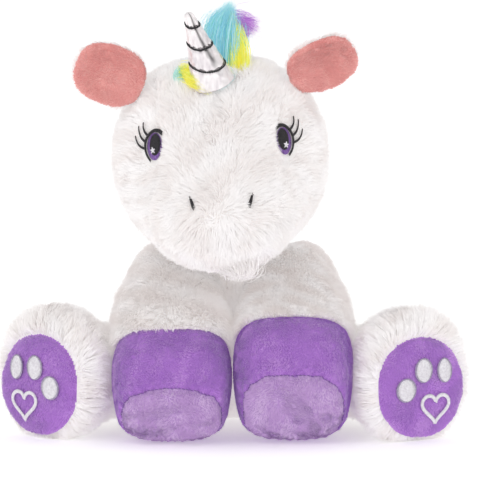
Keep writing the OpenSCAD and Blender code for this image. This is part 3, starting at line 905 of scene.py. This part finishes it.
def make_eye(skin, side):
    """Iris, pupil, star and lid of one embroidered eye, and its three lashes."""
    patch = eye_patch(skin, side)
    iris = fill_rows(ellipse((-2.2, -0.2), (5.9, 9.2), 0.15), 0.3, STITCH)
    pupil = fill_rows(ellipse((-3.2, 0.8), (4.4, 7.4), 0.15), 0.9, STITCH)
    glint = fill_rows(star((-1.2, -3.0), 2.5, 1.05), 0.2, STITCH * 0.8)
    lid_path = [
        (-9.6, 7.2), (-6.6, 9.6), (-2.6, 10), (1.4, 7.8), (4.2, 4), (5.0, -1), (4.2, -5.6), (2.0, -9.6)
    ]
    lid = stroke_rows(lid_path, 2.6, 1.3, STITCH)
    lines, shades = patch.layered([
        (iris, 0.0008, 0.0002, 0),
        (pupil, 0.0011, 0.0003, 1),
        (glint, 0.0016, 0.0003, 2),
        (lid, 0.0014, 0.0005, 1),
    ])
    yarns = [IRIS_YARN, BLACK_YARN, PALE_YARN]
    eye = tubes(f"eye_{side}_embroidery", lines, THREAD, yarns, shades)
    sew_on(eye, "head", [f"eye_{side}"])
    lash_paths = [
        [(2.0, 7.6), (4.6, 10.6), (6.2, 14), (6.4, 17.6)],
        [(4.4, 3.8), (8, 7.4), (10.2, 12), (10.9, 16)],
        [(5.0, -0.8), (9.6, 1.8), (12.6, 5.6), (14.2, 10)],
    ]
    lines = []
    for path in lash_paths:
        lines += patch.stitches(stroke_rows(path, 1.7, 0.6, STITCH), 0.0014, 0.0004)
    lashes = tubes(f"lashes_{side}_embroidery", lines, THREAD, [BLACK_YARN])
    sew_on(lashes, "head", [f"lashes_{side}"])


def make_nostril(skin, side):
    """A short slanted bar of dark stitches."""
    centre = middle(f"nostril_{side}")
    patch = Patch(skin, centre, EYE_ACROSS * SIDES[side], FORWARD + HEAD_UP * 0.2)
    bar = stroke_rows([(1.4, 4.6), (0.5, 1.8), (-0.4, -1.4), (-1.6, -4.2)], 1.2, 2.6, STITCH)
    lines = patch.stitches(bar, 0.0019, 0.0006)
    made = tubes(f"nostril_{side}_stitches", lines, THREAD, [BLACK_YARN])
    sew_on(made, "head", [f"nostril_{side}"])


# ---- Ears ----


def ear_axes(side):
    """Root, outward, across and facing directions of one ear."""
    root = pivot(f"ear_flop_{side}")
    across = unit(np.array(JOINTS[f"ear_flop_{side}"]["axis"]))
    lining, back = middle(f"ear_lining_{side}"), middle(f"ear_back_{side}")
    outward = back - root
    outward = unit(outward - outward @ across * across)
    facing = np.cross(outward, across)
    facing *= np.sign(facing @ (lining - back))
    return root, outward, across, facing


def make_ear(side):
    back, lining = f"ear_back_{side}", f"ear_lining_{side}"
    body = f"ear_{side}"
    root, outward, _, _ = ear_axes(side)
    skin = Skin(
        body, [back, lining], [], 0.0019, cap=0.0012, levels=1,
        shrink=0.0004, groove=0.0004, wider={lining: 0.0014},
    )
    flow = away_from(root)
    pieces = [
        *dress(skin, back, body, EAR_PILE, flow, 300 + SIDES[side]),
        *dress(skin, lining, body, SHORT_PINK, flow, 320 + SIDES[side]),
    ]
    for piece in pieces:
        piece.parent = None
        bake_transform(piece)


# ---- Horn ----

HORN_FOOT = pivot("horn_bend")
RING_HEIGHTS = (0.0097, 0.0252, 0.0402)
HORN_BASE_R, HORN_TIP_R = 0.014, 0.0035


def ring_rise(turn, number):
    """A thread ring's height round the horn: it is stitched on a little askew."""
    size = 0.0118 - 0.0034 * number
    return 0.3 * size * np.cos(turn) - 0.0014 * np.sin(turn) + 0.0003 * np.sin(3 * turn + number)


def horn_axes():
    """The horn's length and its three directions, from its CAD cover."""
    co = points_of(NODES["horn_cover"].data)
    far = co[np.linalg.norm(co - HORN_FOOT, axis=1).argmax()]
    up = unit(far - HORN_FOOT)
    across = unit(np.cross(FORWARD, up))
    return np.linalg.norm(far - HORN_FOOT), up, across, np.cross(up, across)


HORN_L, HORN_UP, HORN_X, HORN_Y = horn_axes()


def horn_radius(z):
    """The plain cone's radius at height z, with its rounded tip."""
    cone_l = HORN_L - HORN_TIP_R
    r = HORN_BASE_R + (HORN_TIP_R - HORN_BASE_R) * np.clip(z / cone_l, -0.1, 1)
    over = np.clip((z - cone_l) / HORN_TIP_R, 0, 1)
    return r * np.sqrt(np.maximum(1 - over**2, 0))


def horn_fold(z, turn):
    """How much of the long lengthwise fold each height and turn has, from 0 to 1."""
    line = 2.02 + 0.1 * np.sin(z * 130)
    return np.exp(-(((turn - line) / 0.17) ** 2)) * eased((z - 0.006) / 0.01)


def horn_surface(z, turn):
    """The crinkled, pinched radius at each height and turn."""
    r = horn_radius(z)
    cells = np.stack([np.cos(turn) * 0.01, np.sin(turn) * 0.01, z], axis=-1).reshape(-1, 3)
    crease = drift(cells, 0.011, 41)[:, 0].reshape(z.shape)
    crinkle = drift(cells, 0.0045, 42)[:, 1].reshape(z.shape)
    r = r - 0.0003 * np.exp(-((crease / 0.16) ** 2)) + 0.00014 * crinkle - 0.0006 * horn_fold(z, turn)
    for number, middle_height in enumerate(RING_HEIGHTS):
        height = middle_height + ring_rise(turn, number)
        gap = np.abs(z - height)
        fold = np.cos(13 * turn + 2.1 * number + 160 * (z - height))
        r = r - 0.0009 * np.exp(-((gap / 0.0014) ** 2)) + 0.0003 * fold * np.exp(-gap / 0.003)
    return r


def make_horn():
    rows, columns = 110, 120
    sunk = 0.005
    z = np.linspace(-sunk, HORN_L - 0.00001, rows)[:, None] * np.ones((1, columns))
    turn = np.ones((rows, 1)) * np.linspace(0, TURN, columns, endpoint=False)[None]
    r = np.maximum(horn_surface(z, turn), 0.0002)
    skin = HORN_FOOT + r[..., None] * (
        np.cos(turn)[..., None] * HORN_X + np.sin(turn)[..., None] * HORN_Y
    )
    skin = skin + z[..., None] * HORN_UP
    ends = np.array([HORN_FOOT + HORN_UP * HORN_L, HORN_FOOT - HORN_UP * sunk])
    verts = skin.reshape(-1, 3).tolist() + ends.tolist()
    faces = []
    for i in range(rows - 1):
        for j in range(columns):
            k = (j + 1) % columns
            a = i * columns
            faces.append((a + j, a + k, a + k + columns, a + j + columns))
    last = (rows - 1) * columns
    for j in range(columns):
        k = (j + 1) % columns
        faces.append((last + j, last + k, rows * columns))
        faces.append((k, j, rows * columns + 1))
    made = mesh_object("horn_foil", verts, faces, [FOIL])
    # Painted dark reflection along the fold, stored in the crease colour layer that the foil multiplies
    # in.
    shade = 1 - 0.72 * horn_fold(z, turn).ravel()
    colour = np.ones((len(verts), 4))
    colour[: len(shade), :3] = shade[:, None]
    layer = made.data.color_attributes.new("crease", "FLOAT_COLOR", "POINT")
    layer.data.foreach_set("color", colour.ravel())
    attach(made, "horn")
    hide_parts("horn_cover", "horn_stuffing")


def make_horn_rings():
    """Three cords of two plies, wound round the horn."""
    lines = []
    for number, height in enumerate(RING_HEIGHTS):
        t = np.linspace(0, TURN, 240)
        rise = ring_rise(t, number)
        r = horn_radius(height + rise) - 0.0002
        for ply in (0, math.pi):
            twist = 26 * t + ply
            out = r + 0.0003 * np.cos(twist)
            up = height + rise + 0.0003 * np.sin(twist)
            round_ = np.cos(t)[:, None] * HORN_X + np.sin(t)[:, None] * HORN_Y
            points = HORN_FOOT + round_ * out[:, None] + HORN_UP * up[:, None]
            lines.append((points, HORN_UP))
    made = tubes("horn_ring_cords", lines, 0.00036, [BLACK_YARN])
    sew_on(made, "horn", ["horn_thread_rings"])


# ---- Mane and tail ----


def lock(name, body, nodes, path, spread, count, materials, seed, width=0.00036, wild=1.5):
    """A tuft of long fibres that follow a path; spread is its half width along it."""
    rng = np.random.default_rng(seed)
    spine = smooth_path(path, 8)
    u = np.linspace(0, 1, len(spine))
    ahead = unit(np.gradient(spine, axis=0))
    side = unit(np.cross(ahead, np.array([0.13, 0.9, 0.41])))
    other = np.cross(ahead, side)
    steps = 9
    verts = np.zeros((count, steps + 1, 2, 3))
    clumps = rng.normal(size=(34, 2)) * 0.6
    for i in range(count):
        clump = clumps[rng.integers(len(clumps))]
        spot = clump + rng.normal(size=2) * 0.42
        start, reach = rng.uniform(0, 0.12), rng.uniform(0.72, 1.08)
        t = start + (reach - start) * np.linspace(0, 1, steps + 1)
        over = np.maximum(t - 1, 0)[:, None] * np.linalg.norm(spine[-1] - spine[-2]) * len(spine)
        base = interpolated(t, u, spine) + over * ahead[-1]
        wide = np.interp(t, np.linspace(0, 1, len(spread)), spread)
        near = np.minimum((t * (len(spine) - 1)).astype(int), len(spine) - 1)
        gather = clump + (spot - clump) * (1 - 0.45 * t[:, None])
        offset = side[near] * gather[:, :1] + other[near] * gather[:, 1:]
        sway = rng.normal(size=3) * 0.0016 * wild
        wobble = np.sin(t * rng.uniform(3, 7) + rng.uniform(0, 6))[:, None] * sway * t[:, None]
        centre = base + offset * wide[:, None] + wobble
        flat = unit(np.cross(unit(np.gradient(centre, axis=0)), rng.normal(size=3)))
        half = width / 2 * np.maximum(1 - t**3, 0.12)[:, None] * rng.uniform(0.7, 1.2)
        verts[i, :, 0] = centre - flat * half
        verts[i, :, 1] = centre + flat * half
    co = verts.reshape(-1, 3)
    co[:, 2] = np.maximum(co[:, 2], FLOOR_GAP)
    first = np.arange(count)[:, None] * (steps + 1) * 2 + np.arange(steps)[None] * 2
    faces = (first[..., None] + [0, 1, 3, 2]).reshape(-1, 4)
    shade = np.repeat(rng.integers(len(materials), size=count), steps)
    made = mesh_object(name, co.tolist(), faces.tolist(), materials, shade.astype(np.int32))
    sew_on(made, body, nodes)


def in_head(x, y, z):
    """A point given in millimetres across, behind and above the head's middle."""
    return HEAD + (EYE_ACROSS * x - FORWARD * y + HEAD_UP * z) * MM


def make_mane():
    """The three tufts behind the horn."""
    for shade, spots, spread, count, materials, seed, wild in (
        (
            "blue", [(4, -11, 63), (4, -8, 80), (6, -3, 94), (10, 1, 105)],
            (0.006, 0.0092, 0.008, 0.0022), 1700, BLUE_LOCK + TEAL_LOCK[:1], 51, 1.5,
        ),
        (
            "yellow", [(13, -17, 60), (14, -14, 74), (13, -9, 86), (10, -5, 97)],
            (0.0042, 0.0052, 0.0038, 0.0014), 850, YELLOW_LOCK, 52, 1.5,
        ),
        (
            "purple", [(7, 2, 66), (10, 2, 82), (17, 3, 92), (27, 4, 89)],
            (0.003, 0.0042, 0.0046, 0.0022), 800, VIOLET_LOCK, 53, 2.2,
        ),
    ):
        lock(
            f"mane_{shade}_lock", "head", [f"mane_{shade}"],
            [in_head(*spot) for spot in spots], spread, count, materials, seed, wild=wild,
        )


def skin_path(skin, spots, lift):
    """Points over the head at (lat, lon) spots, lift millimetres above it."""
    out = []
    for (lat, lon), high in zip(spots, lift):
        ray = head_direction(lat, lon)
        out.append(skin.onto(HEAD + ray * 0.2, -ray) + ray * high * MM)
    return out


def make_forelock(skin):
    lock(
        "forelock_yellow_lock", "head", ["forelock_yellow"],
        skin_path(skin, [(-14, 74), (-15.5, 66), (-11.5, 56), (-4.5, 49)], (0, 5, 8, 7)),
        (0.002, 0.003, 0.0034, 0.002), 620, YELLOW_LOCK, 54, wild=0.8,
    )
    # Painted shade: a tuft of pale fibres, with no CAD node behind it, laid where the horn's foot shows
    # only a pale green-grey shading.
    lock(
        "forelock_painted_shade_lock", "head", [],
        skin_path(skin, [(5, 70), (7, 63), (5, 56), (0, 50)], (1, 5, 7, 6)),
        (0.002, 0.0024, 0.0024, 0.0012), 240, PALE_LOCK, 56, wild=0.8,
    )
    lock(
        "forelock_teal_lock", "head", ["forelock_teal"],
        skin_path(skin, [(-16, 78), (-19, 71), (-21, 65), (-20, 59)], (0, 4, 4, 2)),
        (0.0012, 0.0018, 0.002, 0.001), 200, TEAL_LOCK + PALE_LOCK, 55, wild=0.8,
    )


def make_chin():
    """A tuft of the long white pile that hangs under the muzzle."""
    lock(
        "chin_tuft", "head", [],
        [in_head(10, -58, -57), in_head(10, -63, -62), in_head(10, -66, -66), in_head(9, -67, -70)],
        (0.01, 0.01, 0.008, 0.003), 700, WHITE_FIBRES, 57, 0.00044,
    )


def make_nape(skin):
    rows = [("teal", 104, TEAL_LOCK), ("yellow", 127, YELLOW_LOCK), ("blue", 150, BLUE_LOCK)]
    for number, (shade, lon, materials) in enumerate(rows):
        spots = [(0, lon), (1, lon + 9), (-1, lon + 20), (0, lon + 32)]
        lock(
            f"nape_{shade}_lock", "head", [f"nape_{shade}"],
            skin_path(skin, spots, (-1, 8, 9, 4)),
            (0.006, 0.009, 0.009, 0.004), 620, materials, 60 + number,
        )


def make_tail():
    for number, (shade, materials) in enumerate(
        (("blue", BLUE_LOCK), ("yellow", YELLOW_LOCK), ("purple", VIOLET_LOCK))
    ):
        node = f"tail_{shade}"
        low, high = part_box(node)
        mid = (low + high) / 2
        path = [
            (mid.x, low.y - 0.004, high.z + 0.001),
            (mid.x, low.y + (high.y - low.y) * 0.35, high.z - 0.012),
            (mid.x, low.y + (high.y - low.y) * 0.65, mid.z),
            (mid.x, high.y - 0.005, low.z + 0.005),
        ]
        lock(
            f"{node}_lock", "tail", [node], path,
            (0.003, 0.0045, 0.005, 0.002), 520, materials, 70 + number,
        )


# ---- Torso and neck ----

TORSO_PANELS = ["body_side_left", "body_side_right", "belly_panel", "back_panel", "seat_panel"]


def torso_trim(points):
    """Pile is short where the head and the legs are sewn in."""
    grown = 0.18 + 0.82 * ramp_out(points, HEAD, 0.0745, 0.086)
    for side in SIDES:
        shoulder = pivot(f"front_leg_lift_{side}")
        grown = np.minimum(grown, 0.6 + 0.4 * ramp_out(points, shoulder, 0.034, 0.042))
        hip = pivot(f"hind_leg_splay_{side}")
        grown = np.minimum(grown, 0.35 + 0.65 * ramp_out(points, hip, 0.031, 0.039))
    return grown


# How far the stump's middle sits behind the line from the head's centre through the neck.
STUMP_BACK = 0.006
# The hollow under the head keeps this far from the head's centre.
HEAD_CLEAR = 0.0712
# Each ring's depth below the head's centre, or None for on the hollow, and its radius.
STUMP_RINGS = [
    (0.104, 0.03), (0.092, 0.03), (0.08, 0.027), (0.073, 0.0255), (None, 0.024), (None, 0.012)
]


def neck_stump():
    """Rings of the torso's neck, up to a hollow under the head.

    No CAD solid stands behind it: it bridges the space that the CAD leaves between torso and neck.
    """
    down = unit(middle("neck_stuffing") - HEAD)
    side = unit(np.cross(down, FORWARD))
    back = np.cross(down, side)
    if back[1] < 0:
        side, back = -side, -back
    turns = np.linspace(0, TURN, 32, endpoint=False)
    rings = []
    for depth, radius in STUMP_RINGS:
        ring = []
        for t in turns:
            out = side * (radius * math.cos(t)) + back * (radius * math.sin(t) + STUMP_BACK)
            reach = depth or math.sqrt(HEAD_CLEAR**2 - out @ out)
            ring.append(tuple(HEAD + out + down * reach))
        rings.append(ring)
    return rings


def make_torso():
    fillings = ["body_stuffing", "bean_bag"]
    skin = Skin("torso", TORSO_PANELS, fillings, 0.0048, cap=0.002, levels=1, stump=neck_stump())
    hidden = {"belly_panel": ["body_stuffing"], "seat_panel": ["bean_bag"]}
    flow = away_from(HEAD, 0.5)
    for number, panel in enumerate(TORSO_PANELS):
        seed = 200 + 10 * number
        dress(skin, panel, "body", TORSO_PILE, flow, seed, hidden.get(panel, []), torso_trim)


def make_neck():
    skin = Skin(
        "neck_skin", ["neck_stuffing"], [], 0.0045, cap=0.0005, levels=1, shrink=0.0005, groove=0.0
    )
    cover("neck_cover", skin, "neck_stuffing", "neck", LONG_PILE, ["neck_stuffing"])


# ---- Legs ----


def limb_trim(root, reach):
    """Pile is short on the ball of a joint, which sits inside the torso."""
    return lambda points: 0.35 + 0.65 * ramp_out(points, root, reach, reach + 0.012)


def pucker(skin, node, count, depth, reach, centre, axis):
    """Gathers a skin into small folds across the seam beside a panel."""
    away = distances(skin.co, node)
    across = unit(np.cross(axis, UP))
    other = np.cross(axis, across)
    rel = skin.co - centre
    turn = np.arctan2(rel @ other, rel @ across)
    wobble = drift(skin.co, 0.02, 77)[:, 0]
    fold = np.cos(count * turn + 1.5 * wobble) * np.exp(-away / reach)
    skin.co = skin.co + skin.normal * (depth * fold * (away > 0.0005))[:, None]


def make_front_leg(side):
    body = f"front_leg_{side}"
    sleeve, upper, sole = f"front_sleeve_{side}", f"hoof_upper_{side}", f"hoof_sole_{side}"
    axis = unit(middle(sole) - middle(sleeve))
    shoulder = pivot(f"front_leg_lift_{side}")
    outward = unit(np.array([SIDES[side] * 0.9, 0.0, 0.43]))
    hoof_start = (middle(upper) - shoulder) @ axis - 0.02

    def swell(points):
        """The shoulder stands out sideways and the hoof is a little fuller all round."""
        rel = points - shoulder
        along = rel @ axis
        sideways = eased((rel @ outward - 0.008) / 0.018) * (1 - eased((along - 0.02) / 0.05))
        fuller = eased((along - hoof_start) / 0.012) * eased(points[:, 2] / 0.014)
        return 0.006 * sideways + 0.0018 * fuller

    fillings = [f"front_stuffing_{side}"]
    skin = Skin(
        body, [sleeve, upper, sole], fillings, 0.0042, cap=0.004, levels=2,
        groove=0.001, swell=swell, wider={upper: 0.004},
    )
    pucker(skin, sole, 30, 0.0006, 0.0035, middle(sole), axis)
    flow = away_from(shoulder - axis * 0.03, 0.3)
    seed = 400 + 40 * SIDES[side]
    trim = limb_trim(shoulder, 0.03)
    dress(skin, sleeve, body, LEG_PILE, flow, seed, fillings, trim)
    dress(skin, upper, body, SHORT_PURPLE, flow, seed + 5)
    dress(skin, sole, body, SHORT_LILAC, flow, seed + 10)
    sewn(sole + "_seam", skin, upper, sole, body, PURPLE_YARN)


TOES = [(-15, 2, 6.8, 7.4, 14), (-1.5, 14.5, 6.2, 7.6, 8), (15, 13.5, 5.4, 7.6, 0)]
HEART_AT = (7.5, -12)
HEART_SIZE = 10.5


def heart_path():
    """A closed heart outline, round its middle."""
    t = np.linspace(0, TURN, 40, endpoint=True)
    x = 16 * np.sin(t) ** 3
    y = 13 * np.cos(t) - 5 * np.cos(2 * t) - 2 * np.cos(3 * t) - np.cos(4 * t)
    return np.stack([x, y + 2], axis=1) / 16 * HEART_SIZE + HEART_AT


def make_pad_embroidery(skin, side, normal):
    """Three satin toe ovals with a grey edge, and a heart outline."""
    pad = f"paw_pad_{side}"
    across = np.cross(UP, normal)
    patch = Patch(skin, middle(pad), across, normal)
    mirror = np.array([SIDES[side], 1.0])
    layers = []
    for x, y, half_w, half_h, lean in TOES:
        shape = ellipse((x, y), (half_w, half_h), math.radians(-lean))
        fill = fill_rows(shape * mirror, 0.25 * SIDES[side], STITCH * 1.15)
        edge = stroke_rows(np.vstack([shape, shape[:1]]) * mirror, 1.3, 1.3, STITCH * 1.2)
        layers += [(fill, 0.0015, 0.0007, 0), (edge, 0.0014, 0.0003, 1)]
    heart = stroke_rows(heart_path() * mirror, 2.5, 2.5, STITCH)
    lines, shades = patch.layered(layers + [(heart, 0.0015, 0.0007, 0)])
    name = f"pad_embroidery_{side}_stitches"
    made = tubes(name, lines, THREAD * 1.1, [PALE_YARN, GREY_YARN], shades)
    sew_on(made, f"hind_leg_{side}", [f"pad_embroidery_{side}"])


def make_hind_leg(side):
    body = f"hind_leg_{side}"
    sleeve, pad = f"hind_sleeve_{side}", f"paw_pad_{side}"
    fillings = [f"hind_stuffing_{side}"]
    skin = Skin(
        body, [sleeve, pad], fillings, 0.0042, cap=0.004, levels=2, wider={pad: 0.0035}
    )
    hip = pivot(f"hind_leg_splay_{side}")
    normal = middle(pad) - hip
    normal[2] = 0
    normal = unit(normal)
    seed = 600 + 40 * SIDES[side]
    flow = away_from(middle(pad) + normal * 0.012, 0.2)
    dress(skin, sleeve, body, HIND_PILE, flow, seed, fillings, limb_trim(hip, 0.03))
    dress(skin, pad, body, SHORT_PURPLE, away_from(middle(pad) + [0, 0, 0.1]), seed + 5)
    make_pad_embroidery(skin, side, normal)


# ---- Studio ----

VIEW_RISE = math.radians(8)
VIEW_FAR = 6.0
VIEW_WIDTH = 0.324
TARGET = Vector((0.0052, 0.0, 0.126))


def make_camera():
    data = bpy.data.cameras.new("camera")
    data.lens = data.sensor_width * VIEW_FAR / VIEW_WIDTH
    camera = placed("camera", data)
    back = Vector((0, -math.cos(VIEW_RISE), math.sin(VIEW_RISE)))
    camera.location = TARGET + back * VIEW_FAR
    camera.rotation_mode = "QUATERNION"
    camera.rotation_quaternion = (-back).to_track_quat("-Z", "Y")
    SCENE.camera = camera


def softbox(name, place, size, power):
    data = bpy.data.lights.new(name, "AREA")
    data.shape = "DISK"
    data.size = size
    data.energy = power
    lamp = placed(name, data)
    lamp.location = place
    lamp.rotation_mode = "QUATERNION"
    lamp.rotation_quaternion = (TARGET - Vector(place)).to_track_quat("-Z", "Y")


def make_studio():
    world = bpy.data.worlds.new("studio")
    world.use_nodes = True
    sky = world.node_tree.nodes["Background"]
    sky.inputs["Color"].default_value = (1, 1, 1, 1)
    sky.inputs["Strength"].default_value = 0.8
    SCENE.world = world
    softbox("key", (-1.0, -1.6, 1.5), 1.2, 4)
    softbox("front", (0.6, -2.0, 0.3), 1.8, 3.4)
    SCENE.view_settings.view_transform = "Standard"
    floor_material, tree, shader = blank("paper_floor", linear(252, 252, 252), 0.9, 0.0, 0.1)
    tint = ramp(tree, noise(tree, 3, 2), [(0.2, linear(251, 251, 251)), (0.8, linear(254, 254, 254))])
    tree.links.new(tint, shader.inputs["Base Color"])
    shader.inputs["Emission Color"].default_value = (1, 1, 1, 1)
    shader.inputs["Emission Strength"].default_value = 0.3
    size = 6
    floor = mesh_object(
        "floor", [(-size, -size, 0), (size, -size, 0), (size, size, 0), (-size, size, 0)],
        [(0, 1, 2, 3)], [floor_material],
    )


make_camera()
make_studio()
head_skin = make_head()
for which in SIDES:
    make_eye(head_skin, which)
    make_nostril(head_skin, which)
    make_ear(which)
make_horn()
make_horn_rings()
make_mane()
make_forelock(head_skin)
make_chin()
make_nape(head_skin)
make_tail()
make_torso()
make_neck()
for which in SIDES:
    make_front_leg(which)
    make_hind_leg(which)
